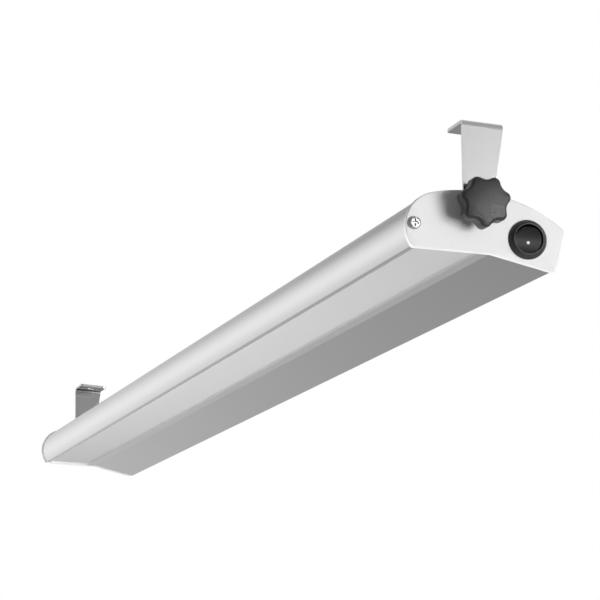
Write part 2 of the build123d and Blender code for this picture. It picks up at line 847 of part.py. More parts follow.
with BuildPart() as driver_board:
    with BuildSketch(driver_plane(driver_board_level)):
        Rectangle(driver_board_length, driver_board_width)
    extrude(amount=driver_board_thickness)

with BuildPart() as driver_transformer:
    with BuildSketch(driver_plane(driver_board_top)):
        with Locations((transformer_x, 0)):
            Rectangle(core_length, core_width)
            with GridLocations(0, core_width - core_notch, 1, 2):
                Rectangle(core_length - 2 * core_leg, core_notch, mode=Mode.SUBTRACT)
    extrude(amount=core_height)
    with BuildSketch(driver_plane(driver_board_top + (core_height - winding_height) / 2)):
        with Locations((transformer_x, 0)):
            SlotOverall(core_length - 2 * core_leg, winding_width)
    extrude(amount=winding_height)

with BuildPart() as driver_capacitors:
    with Locations(driver_plane(driver_board_top + capacitor_radius)):
        with GridLocations(capacitor_pitch, 0, capacitor_count, 1):
            with Locations(Location((capacitor_x, 0, 0), (0, 90, 0))):
                Cylinder(capacitor_radius, capacitor_length)

with BuildPart() as driver_choke:
    with Locations(driver_plane(driver_board_top + choke_tube_radius)):
        with Locations((choke_x, 0, 0)):
            Torus(choke_radius, choke_tube_radius)


def terminal(end, poles):
    """A terminal block at one end of the driver's board, its wire entries facing outward."""
    with BuildPart() as block:
        with BuildSketch(driver_plane(driver_board_top)):
            with Locations((end * terminal_x, 0)):
                Rectangle(terminal_depth, poles * terminal_pole_pitch - 2 * part_gap)
        extrude(amount=terminal_height - part_gap)
        face_x = driver_x + end * (terminal_x + terminal_depth / 2)
        for y, z in terminal_entries(poles):
            entry = Plane(origin=(face_x, y, z - axis_drop), x_dir=(0, 1, 0), z_dir=(end, 0, 0))
            with BuildSketch(entry):
                Circle(terminal_entry_radius)
            extrude(amount=-terminal_entry_depth, mode=Mode.SUBTRACT)
    return block


def terminal_entries(poles):
    """Section points of a terminal's wire entries."""
    level = wall + rail_play + driver_board_top + terminal_height / 2
    middle = (driver_start + driver_end) / 2
    return [
        along(base_front, base_slope, middle + (pole - (poles - 1) / 2) * terminal_pole_pitch, level)
        for pole in range(poles)
    ]


input_terminal = terminal(1, input_poles)
output_terminal = terminal(-1, output_poles)

# Foam pads that hold the driver down between its lid and the arch
with BuildPart() as driver_pads:
    for end in (-1, 1):
        with BuildSketch(driver_plane(driver_height + part_gap / 2)):
            with Locations((end * (driver_length - pad_length) / 2, pad_shift)):
                Rectangle(pad_length, pad_width)
        extrude(amount=pad_height)

# Earth point on the partition and the grommet where the LED wires go through it
with BuildPart() as earth_screw:
    with BuildSketch(partition_plane().offset(earth_tag_thickness)):
        with Locations((-earth_x, earth_z)):
            Circle(earth_screw_head_radius)
    extrude(amount=earth_screw_head_height)
    with BuildSketch(partition_plane().offset(earth_tag_thickness)):
        with Locations((-earth_x, earth_z)):
            Circle(earth_screw_radius)
    extrude(amount=-earth_screw_length)

with BuildPart() as earth_tag:
    with BuildSketch(partition_plane()):
        with Locations((-earth_x, earth_z)):
            Circle(earth_tag_radius)
            Rectangle(earth_tag_reach, 2 * wire_radius + earth_tag_thickness, align=(Align.MIN, Align.CENTER))
            Circle(earth_screw_radius + thread_play, mode=Mode.SUBTRACT)
    extrude(amount=earth_tag_thickness)

with BuildPart() as grommet:
    with BuildSketch(partition_plane().offset(-partition_wall - grommet_flange)):
        with Locations((-grommet_x, grommet_z)):
            Circle(grommet_radius + grommet_flange)
    extrude(amount=partition_wall + 2 * grommet_flange)
    with BuildSketch(partition_plane().offset(-partition_wall)):
        with Locations((-grommet_x, grommet_z)):
            Circle(grommet_radius + 2 * grommet_flange)
            Circle(grommet_radius, mode=Mode.SUBTRACT)
    extrude(amount=partition_wall, mode=Mode.SUBTRACT)
    with BuildSketch(partition_plane().offset(-partition_wall - grommet_flange)):
        with Locations((-grommet_x, grommet_z)):
            Circle(grommet_bore)
    extrude(amount=partition_wall + 2 * grommet_flange, mode=Mode.SUBTRACT)


def wire(points, bend, radius=wire_radius):
    """An insulated wire through section points (x, y, z), with round bends."""
    with BuildPart() as part:
        with BuildLine() as route:
            FilletPolyline(*[(x, y, z - axis_drop) for x, y, z in points], radius=bend)
        start = route.wires()[0]
        with BuildSketch(Plane(origin=start @ 0, z_dir=start % 0)):
            Circle(radius)
        sweep(path=route.wires()[0])
    return part


def inlet_tab_end(spot):
    """The free end of an inlet tab, as a section point."""
    y, z = along((switch_y, switch_z), base_slope, *spot)
    return (-lamp_end + inlet_depth + inlet_tab_length, y, z)


switch_tab_x = lamp_end - switch_depth - tab_length
upper_tab = (switch_tab_x, switch_y, switch_z + switch_tab_pitch / 2)
lower_tab = (switch_tab_x, switch_y, switch_z - switch_tab_pitch / 2)
input_face = driver_x + driver_length / 2 - driver_shell - part_gap - wire_seat
output_face = driver_x - driver_length / 2 + driver_shell + part_gap + wire_seat
entries = terminal_entries(input_poles)
neutral_start = inlet_tab_end(pin_spots[1])
live_start = inlet_tab_end(pin_spots[0])
earth_start = inlet_tab_end(pin_spots[2])
earth_wire_y = chamber_front + earth_tag_thickness + wire_radius

wire_live = wire(
    [
        live_start,
        (live_start[0] + wire_lead, live_start[1], live_start[2]),
        (live_start[0] + 2 * wire_lead, *live_run),
        (switch_tab_x - 2 * wire_lead, *live_run),
        (switch_tab_x - wire_lead, upper_tab[1], upper_tab[2]),
        upper_tab,
    ],
    wire_bend,
)
wire_neutral = wire(
    [
        neutral_start,
        (neutral_start[0] + wire_lead, neutral_start[1], neutral_start[2]),
        (neutral_start[0] + 2 * wire_lead, *neutral_run),
        (input_face + 2 * wire_lead, *neutral_run),
        (input_face + 3 * wire_lead, entries[0][0], (neutral_run[1] + entries[0][1]) / 2),
        (input_face + 2 * wire_lead, *entries[0]),
        (input_face, *entries[0]),
    ],
    wire_bend,
)
wire_switched = wire(
    [
        lower_tab,
        (switch_tab_x - wire_lead, lower_tab[1], lower_tab[2]),
        (input_face + wire_lead, *entries[2]),
        (input_face, *entries[2]),
    ],
    wire_bend,
)
wire_earth = wire(
    [
        earth_start,
        (earth_start[0] + wire_lead / 3, earth_start[1], earth_start[2]),
        (earth_x - earth_tag_reach - wire_lead / 2, earth_wire_y, earth_z),
        (earth_x - earth_tag_reach, earth_wire_y, earth_z),
    ],
    earth_bend,
)


def led_wire(pole, board_y, grommet_shift):
    """A thin wire from the driver's output, through the grommet, to the nearest LED board."""
    entry = terminal_entries(output_poles)[pole]
    hole_x = grommet_x + grommet_shift
    pad_z = board_bottom - led_wire_radius
    return wire(
        [
            (output_face, *entry),
            (output_face - wire_lead, *entry),
            (hole_x, entry[0], grommet_z),
            (hole_x, partition_front - grommet_flange - led_wire_lead, grommet_z),
            (hole_x, board_y, pad_z),
            (hole_x - led_wire_lead, board_y, pad_z),
        ],
        led_bend,
        led_wire_radius,
    )


led_wires = [
    led_wire(pole, board_center_y + led_pad_y + pole * led_pad_pitch, (0.5 - pole) * led_wire_pitch)
    for pole in range(output_poles)
]

pieces = {
    "housing": housing,
    "window": window,
    "led_chips": led_chips,
    "led_board_screws": board_screws,
    "led_board_links": board_links,
    "cap_screws": cap_screws,
    "switch_body": switch_body,
    "switch_rocker": rocker,
    "switch_tabs": switch_tabs,
    "inlet_body": inlet_body,
    "inlet_pins": inlet_pins,
    "driver_tray": driver_tray,
    "driver_lid": driver_lid,
    "driver_board": driver_board,
    "driver_transformer": driver_transformer,
    "driver_capacitors": driver_capacitors,
    "driver_choke": driver_choke,
    "driver_input_terminal": input_terminal,
    "driver_output_terminal": output_terminal,
    "driver_pads": driver_pads,
    "earth_screw": earth_screw,
    "earth_tag": earth_tag,
    "grommet": grommet,
    "wire_live": wire_live,
    "wire_neutral": wire_neutral,
    "wire_switched": wire_switched,
    "wire_earth": wire_earth,
    "wire_led_plus": led_wires[0],
    "wire_led_minus": led_wires[1],
}
for index, name in enumerate(("left", "middle", "right")):
    pieces[f"led_board_{name}"] = boards[index]
for name, side in (("left", -1), ("right", 1)):
    pieces[f"end_cap_{name}"] = end_cap(side)
    pieces[f"stud_{name}"] = stud(side)
    pieces[f"friction_washer_{name}"] = washer(
        side, lamp_end, friction_washer_radius, friction_washer_thickness
    )
    pieces[f"hanger_{name}"] = hanger(side)
    pieces[f"knob_washer_{name}"] = washer(
        side, plate_outside + clamp_gap, knob_washer_radius, knob_washer_thickness
    )
    pieces[f"knob_{name}"] = knob(side)
    pieces[f"knob_insert_{name}"] = knob_insert(side)

os.makedirs("parts", exist_ok=True)
for name, piece in pieces.items():
    piece.part.label = name
    export_step(piece.part, f"parts/{name}.step")
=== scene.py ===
import json
import math

import bpy
import numpy as np
from mathutils import Euler, Matrix, Vector


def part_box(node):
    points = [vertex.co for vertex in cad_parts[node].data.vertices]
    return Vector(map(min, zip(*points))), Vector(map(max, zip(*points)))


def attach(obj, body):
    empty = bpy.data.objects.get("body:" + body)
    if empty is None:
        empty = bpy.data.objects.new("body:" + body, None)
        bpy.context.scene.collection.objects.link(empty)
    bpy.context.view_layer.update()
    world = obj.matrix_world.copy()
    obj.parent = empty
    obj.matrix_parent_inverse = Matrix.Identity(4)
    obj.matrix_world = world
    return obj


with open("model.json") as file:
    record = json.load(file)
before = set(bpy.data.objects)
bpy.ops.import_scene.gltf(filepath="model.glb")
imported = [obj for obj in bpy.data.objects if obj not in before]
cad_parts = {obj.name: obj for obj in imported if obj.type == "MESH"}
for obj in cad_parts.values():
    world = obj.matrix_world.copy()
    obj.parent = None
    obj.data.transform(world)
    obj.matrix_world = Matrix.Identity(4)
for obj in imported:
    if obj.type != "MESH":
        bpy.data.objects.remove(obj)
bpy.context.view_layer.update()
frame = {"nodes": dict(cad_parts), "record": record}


# Housing: one aluminium extrusion, satin anodised. The die leaves fine lines
# along its length, and the anodising spreads the light across the round nose.
class Socket:
    """An output of a shader node. Arithmetic on it adds Math nodes."""

    def __init__(self, finish, socket):
        self.finish = finish
        self.socket = socket

    def math(self, operation, *values):
        return self.finish.node("ShaderNodeMath", {"operation": operation}, dict(enumerate(values)))

    def __add__(self, other):
        return self.math("ADD", self, other)

    def __radd__(self, other):
        return self.math("ADD", other, self)

    def __sub__(self, other):
        return self.math("SUBTRACT", self, other)

    def __rsub__(self, other):
        return self.math("SUBTRACT", other, self)

    def __mul__(self, other):
        return self.math("MULTIPLY", self, other)

    def __rmul__(self, other):
        return self.math("MULTIPLY", other, self)

    def __truediv__(self, other):
        return self.math("DIVIDE", self, other)

    def __mod__(self, other):
        return self.math("FLOORED_MODULO", self, other)

    def __abs__(self):
        return self.math("ABSOLUTE", self)

    def __gt__(self, other):
        return self.math("GREATER_THAN", self, other)

    def __lt__(self, other):
        return self.math("LESS_THAN", self, other)


class Finish:
    """A node tree: a material's, or the world's."""

    def __init__(self, name, world=False):
        self.owner = bpy.data.worlds.new(name) if world else bpy.data.materials.new(name)
        self.owner.use_nodes = True
        self.tree = self.owner.node_tree
        self.tree.nodes.clear()
        self.output = self.tree.nodes.new("ShaderNodeOutputWorld" if world else "ShaderNodeOutputMaterial")

    def node(self, kind, settings=None, inputs=None, output=0):
        """One node: its settings first, then the values or links of its sockets."""
        made = self.tree.nodes.new(kind)
        for name, value in (settings or {}).items():
            if name == "stops":
                ramp = made.color_ramp.elements
                while len(ramp) < len(value):
                    ramp.new(1.0)
                for element, (position, level) in zip(ramp, value):
                    element.position = position
                    element.color = (level, level, level, 1.0)
            else:
                setattr(made, name, value)
        for name, value in (inputs or {}).items():
            if isinstance(value, Socket):
                self.tree.links.new(value.socket, made.inputs[name])
            elif isinstance(value, tuple) and len(value) == 3 and made.inputs[name].type == "RGBA":
                made.inputs[name].default_value = (*value, 1.0)
            else:
                made.inputs[name].default_value = value
        return Socket(self, made.outputs[output])

    def place(self, scale=(1.0, 1.0, 1.0)):
        """Object coordinates, stretched for a pattern."""
        spot = self.node("ShaderNodeTexCoord", output="Object")
        return self.node("ShaderNodeMapping", inputs={"Vector": spot, "Scale": scale})

    def parts_of(self, coordinate):
        """X, Y and Z of the object's own coordinates or of its surface normal."""
        vector = self.node("ShaderNodeTexCoord", output=coordinate)
        return [self.node("ShaderNodeSeparateXYZ", None, {"Vector": vector}, axis) for axis in "XYZ"]

    def noise(self, place, scale, detail=3.0, roughness=0.55):
        return self.node(
            "ShaderNodeTexNoise", None,
            {"Vector": place, "Scale": scale, "Detail": detail, "Roughness": roughness},
        )

    def bump(self, height, distance):
        return self.node("ShaderNodeBump", None, {"Height": height, "Distance": distance})

    def tone(self, amount, dark, light):
        """A colour between two, by an amount from 0 to 1. Either may be a link."""
        ends = [color if isinstance(color, Socket) else (*color, 1.0) for color in (dark, light)]
        return self.node(
            "ShaderNodeMix", {"data_type": "RGBA"}, {"Factor": amount, "A": ends[0], "B": ends[1]}, 2
        )

    def surface(self, **inputs):
        """The shader of this finish; words of a socket's name are joined with underscores."""
        sockets = {name.replace("_", " "): value for name, value in inputs.items()}
        shader = self.node("ShaderNodeBsdfPrincipled", None, sockets)
        self.tree.links.new(shader.socket, self.output.inputs["Surface"])
        return self.owner


def dress(material, *names):
    """Gives CAD nodes their material."""
    for name in names:
        data = frame["nodes"][name].data
        data.materials.clear()
        data.materials.append(material)


anodised = Finish("satin_anodised_aluminium")
die_lines = anodised.noise(anodised.place((3.0, 900.0, 900.0)), 1.0, 4.0)
cloud = anodised.noise(anodised.place(), 9.0, 2.0)
dress(
    anodised.surface(
        Base_Color=anodised.tone(die_lines, (0.75, 0.75, 0.755), (0.80, 0.80, 0.805)),
        Metallic=1.0,
        Roughness=0.17 + 0.06 * die_lines + 0.03 * cloud,
        Normal=anodised.bump(die_lines, 0.00003),
    ),
    "housing",
)

# Window: one opal sheet of matt plastic, which slides into the slots of the
# housing from the end and spreads the light of the LEDs.
light_spread = 0.004
opal = Finish("opal_sheet")
opal_grain = opal.noise(opal.place(), 1800.0, 2.0)
dress(
    opal.surface(
        Base_Color=opal.tone(opal_grain, (0.475, 0.475, 0.475), (0.515, 0.515, 0.515)),
        Roughness=0.42 + 0.1 * opal_grain,
        Subsurface_Weight=0.25,
        Subsurface_Radius=(light_spread, light_spread, light_spread),
        Normal=opal.bump(opal_grain, 0.00002),
    ),
    "window",
)

# LED boards: three aluminium boards with a white mask, screwed under the shelf
# one behind the other. The mask shows its copper as faint long fields.
mask_white = Finish("white_board_mask")
copper_fields = mask_white.noise(mask_white.place((40.0, 500.0, 500.0)), 1.0, 1.0) > 0.5
mask_grain = mask_white.noise(mask_white.place(), 2500.0, 2.0)
dress(
    mask_white.surface(
        Base_Color=mask_white.tone(copper_fields, (0.80, 0.81, 0.80), (0.86, 0.86, 0.85)),
        Roughness=0.35 + 0.1 * mask_grain,
        Normal=mask_white.bump(copper_fields + 0.1 * mask_grain, 0.00003),
    ),
    "led_board_left", "led_board_middle", "led_board_right",
)

# LEDs: white packages in one row, each with a yellow phosphor field in the
# middle of the face that looks down.
led_pitch = 0.015
phosphor_half_length = 0.0013
phosphor_half_width = 0.0010
right_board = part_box("led_board_right")
board_pitch = (right_board[0][0] + right_board[1][0]) / 2
board_middle_y = (right_board[0][1] + right_board[1][1]) / 2
package = Finish("led_package")
along, across, _ = package.parts_of("Object")
# The place on its board, then the place round its LED, as shares of a pitch from -0.5 to 0.5.
on_board = (along / board_pitch + 0.5) % 1.0 - 0.5
in_pitch = (on_board * (board_pitch / led_pitch)) % 1.0 - 0.5
_, _, facing_up = package.parts_of("Normal")
lower_face = facing_up < -0.5
phosphor = (
    (abs(in_pitch) < phosphor_half_width / led_pitch)
    * (abs(across - board_middle_y) < phosphor_half_length)
    * lower_face
)
package_grain = package.noise(package.place(), 3000.0, 2.0)
dress(
    package.surface(
        Base_Color=package.tone(phosphor, (0.85, 0.85, 0.83), (0.90, 0.66, 0.10)),
        Roughness=0.3 + 0.15 * package_grain,
        Normal=package.bump(package_grain - phosphor, 0.00002),
    ),
    "led_chips",
)

# Plug links: small white nylon housings that join one LED board to the next.
nylon = Finish("white_nylon")
nylon_cloud = nylon.noise(nylon.place(), 300.0, 2.0)
dress(
    nylon.surface(
        Base_Color=nylon.tone(nylon_cloud, (0.76, 0.75, 0.71), (0.83, 0.82, 0.78)),
        Roughness=0.4 + 0.1 * nylon_cloud,
        Subsurface_Weight=0.1,
    ),
    "led_board_links",
)

# Driver case: a tray and a lid of zinc-coated sheet steel, with the faint
# flower that the coating leaves when it sets.
sheet_zinc = Finish("zinc_coated_sheet")
flower = sheet_zinc.node(
    "ShaderNodeTexVoronoi", None, {"Vector": sheet_zinc.place(), "Scale": 240.0}, "Color"
)
flower_level = sheet_zinc.node("ShaderNodeSeparateXYZ", None, {"Vector": flower}, "X")
dress(
    sheet_zinc.surface(
        Base_Color=sheet_zinc.tone(flower_level, (0.60, 0.61, 0.62), (0.72, 0.73, 0.74)),
        Metallic=1.0,
        Roughness=0.32 + 0.12 * flower_level,
    ),
    "driver_tray", "driver_lid",
)

# Driver board: green glass-fibre board with its tracks under the mask.
green_mask = Finish("green_board_mask")
tracks = green_mask.noise(green_mask.place((160.0, 420.0, 420.0)), 1.0, 0.0) > 0.52
weave = green_mask.noise(green_mask.place(), 1600.0, 2.0)
dress(
    green_mask.surface(
        Base_Color=green_mask.tone(tracks, (0.012, 0.11, 0.035), (0.03, 0.19, 0.06)),
        Roughness=0.3 + 0.1 * weave,
        Normal=green_mask.bump(tracks + 0.1 * weave, 0.00003),
    ),
    "driver_board",
)

# Transformer: a grey ferrite core around a winding wrapped in yellow tape. The
# winding stands back from the core's outer faces.
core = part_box("driver_transformer")
core_middle_x = (core[0][0] + core[1][0]) / 2
core_half_length = (core[1][0] - core[0][0]) / 2
core_leg_share = 0.58
ferrite = Finish("ferrite_and_tape")
along, _, _ = ferrite.parts_of("Object")
on_winding = abs(along - core_middle_x) < core_leg_share * core_half_length
_, _, facing_up = ferrite.parts_of("Normal")
upright_side = abs(facing_up) < 0.9
ferrite_grain = ferrite.noise(ferrite.place(), 1200.0, 3.0)
dress(
    ferrite.surface(
        Base_Color=ferrite.tone(
            on_winding * upright_side,
            ferrite.tone(ferrite_grain, (0.035, 0.035, 0.037), (0.07, 0.07, 0.072)),
            (0.72, 0.52, 0.05),
        ),
        Roughness=0.45 + 0.2 * ferrite_grain,
        Normal=ferrite.bump(ferrite_grain, 0.00004),
    ),
    "driver_transformer",
)

# Capacitors: three aluminium cans lying on the board, in dark sleeves with a
# pale stripe for the minus side. The ends are bare.
sleeve = Finish("capacitor_sleeve")
facing_along, facing_across, facing_up = sleeve.parts_of("Normal")
bare_end = abs(facing_along) > 0.9
minus_stripe = (facing_across > 0.75) * (facing_up > 0.0)
sleeve_cloud = sleeve.noise(sleeve.place(), 500.0, 2.0)
sleeve_tone = sleeve.tone(minus_stripe, (0.012, 0.016, 0.03), (0.55, 0.57, 0.60))
dress(
    sleeve.surface(
        Base_Color=sleeve.tone(bare_end, sleeve_tone, (0.78, 0.78, 0.78)),
        Metallic=bare_end,
        Roughness=0.28 + 0.1 * sleeve_cloud,
    ),
    "driver_capacitors",
)

# Choke: enamelled copper wire wound in one layer round a ring core.
choke_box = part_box("driver_choke")
choke_middle_x = (choke_box[0][0] + choke_box[1][0]) / 2
choke_middle_y = (choke_box[0][1] + choke_box[1][1]) / 2
winding_turns = 34.0
enamel = Finish("enamelled_copper")
along, across, _ = enamel.parts_of("Object")
bearing = enamel.node(
    "ShaderNodeMath", {"operation": "ARCTAN2"}, {0: across - choke_middle_y, 1: along - choke_middle_x}
)
turns = enamel.node("ShaderNodeMath", {"operation": "SINE"}, {0: bearing * winding_turns})
dress(
    enamel.surface(
        # Painted shade and light of the winding: each turn is lighter on its crest and darker where it
        # meets the next.
        Base_Color=enamel.tone(0.5 + 0.5 * turns, (0.30, 0.09, 0.03), (0.72, 0.30, 0.12)),
        Metallic=1.0,
        Roughness=0.30 - 0.05 * turns,
        Normal=enamel.bump(turns, 0.0002),
    ),
    "driver_choke",
)

# Terminals of the driver: grey moulded blocks with an entry for each wire.
grey_moulding = Finish("grey_moulded_plastic")
moulding_grain = grey_moulding.noise(grey_moulding.place(), 1400.0, 2.0)
dress(
    grey_moulding.surface(
        Base_Color=grey_moulding.tone(moulding_grain, (0.30, 0.31, 0.32), (0.38, 0.39, 0.40)),
        Roughness=0.42 + 0.12 * moulding_grain,
        Normal=grey_moulding.bump(moulding_grain, 0.00003),
    ),
    "driver_input_terminal", "driver_output_terminal",
)

# Foam pads: dark open-cell foam pressed between the driver's lid and the arch.
foam = Finish("dark_foam")
cells = foam.node("ShaderNodeTexVoronoi", None, {"Vector": foam.place(), "Scale": 1400.0})
dress(
    foam.surface(
        Base_Color=foam.tone(cells, (0.012, 0.012, 0.013), (0.06, 0.06, 0.062)),
        Roughness=0.95,
        Normal=foam.bump(cells, 0.0004),
    ),
    "driver_pads",
)

# Blades and tags: tinned brass, stamped. They are the earth tag on the
# partition, the switch's two tabs and the inlet's three pins.
tinned = Finish("tinned_brass")
tin_cloud = tinned.noise(tinned.place(), 600.0, 3.0)
dress(
    tinned.surface(
        Base_Color=tinned.tone(tin_cloud, (0.66, 0.65, 0.62), (0.80, 0.79, 0.76)),
        Metallic=1.0,
        Roughness=0.22 + 0.15 * tin_cloud,
    ),
    "earth_tag", "switch_tabs", "inlet_pins",
)

# Grommet: a soft black rubber ring in the partition, round the LED wires.
rubber = Finish("black_rubber")
rubber_bloom = rubber.noise(rubber.place(), 450.0, 4.0)
dress(
    rubber.surface(
        Base_Color=rubber.tone(rubber_bloom, (0.012, 0.012, 0.012), (0.035, 0.035, 0.035)),
        Roughness=0.68 + 0.15 * rubber_bloom,
        Normal=rubber.bump(rubber_bloom, 0.00005),
    ),
    "grommet",
)


# Wires: stranded copper in coloured sleeves. Brown is live, blue neutral, black
# switched, and red and black feed the LEDs. The earth wire is green and yellow.
def wire_sleeve(name, dark, light, *nodes, stripe=None):
    """Glossy soft sleeve with faint flow marks along it, and a stripe of a second colour on top."""
    finish = Finish(name)
    flow = finish.noise(finish.place((60.0, 900.0, 900.0)), 1.0, 2.0)
    color = finish.tone(flow, dark, light)
    if stripe:
        _, _, facing_up = finish.parts_of("Normal")
        color = finish.tone(facing_up > 0.1, color, stripe)
    dress(finish.surface(Base_Color=color, Roughness=0.32 + 0.1 * flow), *nodes)


wire_sleeve("sleeve_brown", (0.08, 0.032, 0.014), (0.14, 0.06, 0.028), "wire_live")
wire_sleeve("sleeve_blue", (0.02, 0.07, 0.32), (0.04, 0.12, 0.45), "wire_neutral")
wire_sleeve("sleeve_black", (0.012, 0.012, 0.012), (0.03, 0.03, 0.03), "wire_switched", "wire_led_minus")
wire_sleeve("sleeve_red", (0.35, 0.012, 0.01), (0.48, 0.025, 0.02), "wire_led_plus")
wire_sleeve(
    "sleeve_green_yellow", (0.01, 0.16, 0.03), (0.02, 0.24, 0.05), "wire_earth", stripe=(0.75, 0.60, 0.02)
)

# End caps: cast plates, powder coated white with a faint orange peel. A short
# rim behind each locates it in the housing.
powder = Finish("white_powder_coat")
peel = powder.noise(powder.place(), 1100.0, 2.0)
dress(
    powder.surface(
        Base_Color=powder.tone(peel, (0.84, 0.84, 0.84), (0.87, 0.87, 0.87)),
        Roughness=0.36 + 0.06 * peel,
        Normal=powder.bump(peel, 0.00004),
    ),
    "end_cap_left", "end_cap_right",
)

# Screws and washers: zinc-plated steel, with the faint clouds of the plating
# bath. They hold the caps, the LED boards and the earth tag.
zinc = Finish("zinc_plate")
zinc_cloud = zinc.noise(zinc.place(), 700.0, 3.0)
dress(
    zinc.surface(
        Base_Color=zinc.tone(zinc_cloud, (0.36, 0.37, 0.38), (0.44, 0.45, 0.46)),
        Metallic=1.0,
        Roughness=0.30 + 0.10 * zinc_cloud,
    ),
    "cap_screws", "knob_washer_left", "knob_washer_right", "earth_screw", "led_board_screws",
)

# Studs: M6 zinc-plated steel on the tilt axis. The thread runs round them as a
# helix, one turn for each millimetre along X.
thread_pitch = 0.001
half_turn = 0.5
stud_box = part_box("stud_right")
stud_middle_y = (stud_box[0][1] + stud_box[1][1]) / 2
stud_middle_z = (stud_box[0][2] + stud_box[1][2]) / 2
threaded = Finish("threaded_zinc_plate")
along, across, up = threaded.parts_of("Object")
bearing = threaded.node(
    "ShaderNodeMath", {"operation": "ARCTAN2"}, {0: up - stud_middle_z, 1: across - stud_middle_y}
)
helix = threaded.node(
    "ShaderNodeMath", {"operation": "PINGPONG"},
    {0: along / thread_pitch + bearing / math.tau, 1: half_turn},
)
dress(
    threaded.surface(
        # Painted shade and light of the thread: its roots are darker and its crests lighter, with the
        # bump.
        Base_Color=threaded.tone(helix, (0.30, 0.31, 0.32), (0.70, 0.71, 0.72)),
        Metallic=1.0,
        Roughness=0.30 + 0.1 * helix,
        Normal=threaded.bump(helix, 0.0006),
    ),
    "stud_left", "stud_right",
)

# Friction washers: pressed fibre rings between cap and hanger. They hold the
# tilt once the knobs are tight.
fibre = Finish("pressed_fibre")
flecks = fibre.noise(fibre.place(), 1300.0, 4.0, 0.7)
dress(
    fibre.surface(
        Base_Color=fibre.tone(flecks, (0.05, 0.048, 0.045), (0.13, 0.12, 0.11)),
        Roughness=0.85,
        Normal=fibre.bump(flecks, 0.00008),
    ),
    "friction_washer_left", "friction_washer_right",
)

# Hangers: steel strip, folded, plated and brushed along its length outside. Painted shade darkens
# the inner side and the underside of the flange; the underside is rougher too.
plates_from_x = 0.6
turned_inward = -0.2
turned_down = -0.3
strip = Finish("brushed_steel_strip")
strip_lines = strip.noise(strip.place((12.0, 1200.0, 12.0)), 1.0, 3.0)
along, _, _ = strip.parts_of("Object")
facing_along, _, facing_up = strip.parts_of("Normal")
inside_of_plate = (along * facing_along < turned_inward) * (abs(along) > plates_from_x)
under_flange = facing_up < turned_down
painted_shade_faces = (inside_of_plate + under_flange) > 0.5
outer_tone = strip.tone(strip_lines, (0.60, 0.60, 0.60), (0.67, 0.67, 0.67))
# Painted shade: a darker copy of the steel's tone for the inner side and the flange's underside.
painted_shade_tone = strip.tone(strip_lines, (0.30, 0.30, 0.30), (0.38, 0.38, 0.38))
dress(
    strip.surface(
        Base_Color=strip.tone(painted_shade_faces, outer_tone, painted_shade_tone),
        Metallic=1.0,
        Roughness=0.13 + 0.05 * strip_lines + 0.15 * under_flange,
        Normal=strip.bump(strip_lines, 0.000002),
    ),
    "hanger_left", "hanger_right",
)

# Knobs: black moulded plastic with a coarse spark-eroded grain.
grained = Finish("grained_black_plastic")
grain = grained.noise(grained.place(), 1300.0, 3.0, 0.65)
dress(
    grained.surface(
        Base_Color=grained.tone(grain, (0.002, 0.002, 0.002), (0.030, 0.030, 0.031)),
        Roughness=0.30 + 0.10 * grain,
        Normal=grained.bump(grain, 0.00025),
    ),
    "knob_left", "knob_right",
)

# Knob inserts: threaded brass bushes, grooved so that the moulding grips them.
brass = Finish("turned_brass")
turning = brass.noise(brass.place((2600.0, 90.0, 90.0)), 1.0, 2.0)
dress(
    brass.surface(
        Base_Color=brass.tone(turning, (0.62, 0.42, 0.15), (0.78, 0.57, 0.25)),
        Metallic=1.0,
        Roughness=0.25 + 0.12 * turning,
        Normal=brass.bump(turning, 0.00003),
    ),
    "knob_insert_left", "knob_insert_right",
)

# Switch body and inlet: black mouldings with a fine matt grain, smoother than
# the knobs. Both snap into their caps from outside.
smooth = Finish("smooth_black_plastic")
moulded_cloud = smooth.noise(smooth.place(), 900.0, 2.0)
dress(
    smooth.surface(
        Base_Color=smooth.tone(moulded_cloud, (0.014, 0.014, 0.014), (0.024, 0.024, 0.024)),
        Roughness=0.34 + 0.08 * moulded_cloud,
        Normal=smooth.bump(moulded_cloud, 0.00003),
    ),
    "switch_body", "inlet_body",
)

# Rocker: satin black plastic, hollowed across its face. It tips on two
# trunnions in the switch body.
satin = Finish("satin_black_plastic")
satin_cloud = satin.noise(satin.place(), 400.0, 2.0)
dress(
    satin.surface(
        Base_Color=satin.tone(satin_cloud, (0.010, 0.010, 0.010), (0.018, 0.018, 0.018)),
        Roughness=0.26 + 0.05 * satin_cloud,
        Specular_IOR_Level=0.12,
    ),
    "switch_rocker",
)

# Rocker mark: a round dot of white ink, pad-printed on the lower half of the
# rocker's hollowed face. It follows that face and moves with the rocker.
joints = {joint["name"]: joint for joint in frame["record"]["behaviour"]["joints"]}
rocker_pivot = Vector(joints["switch_rock"]["pos_m"])
rest_tip = math.radians(-9.0)
saddle_radius = 0.030
saddle_depth = 0.0031
dot_radius = 0.0009
dot_below_middle = 0.0015
ink_thickness = 0.00004


def dot_surface(rings=5, segments=40):
    """A closed lens of ink: out along its under side, round the rim and back along its top.

    At r and angle a from the dot's middle, across = r cos a and rise = r sin a. The height over
    the rocker's axis is that of the hollow, a cylinder of radius R round Y: depth + R -
    sqrt(R^2 - rise^2), with the ink's thickness below and above it.
    """
    reach = np.linspace(0.0, dot_radius, rings)
    radius = np.concatenate([reach, reach[::-1]])[:, None]
    side = np.repeat([-1.0, 1.0], rings)[:, None]
    around = np.linspace(0.0, math.tau, segments, endpoint=False)[None, :]
    across = radius * np.cos(around)
    rise = radius * np.sin(around) - dot_below_middle
    outward = saddle_depth + saddle_radius - np.sqrt(saddle_radius**2 - rise**2) + side * ink_thickness
    x = rocker_pivot.x + outward * math.cos(rest_tip) - rise * math.sin(rest_tip)
    z = rocker_pivot.z + outward * math.sin(rest_tip) + rise * math.cos(rest_tip)
    return np.stack([x, rocker_pivot.y + across, z], axis=-1)


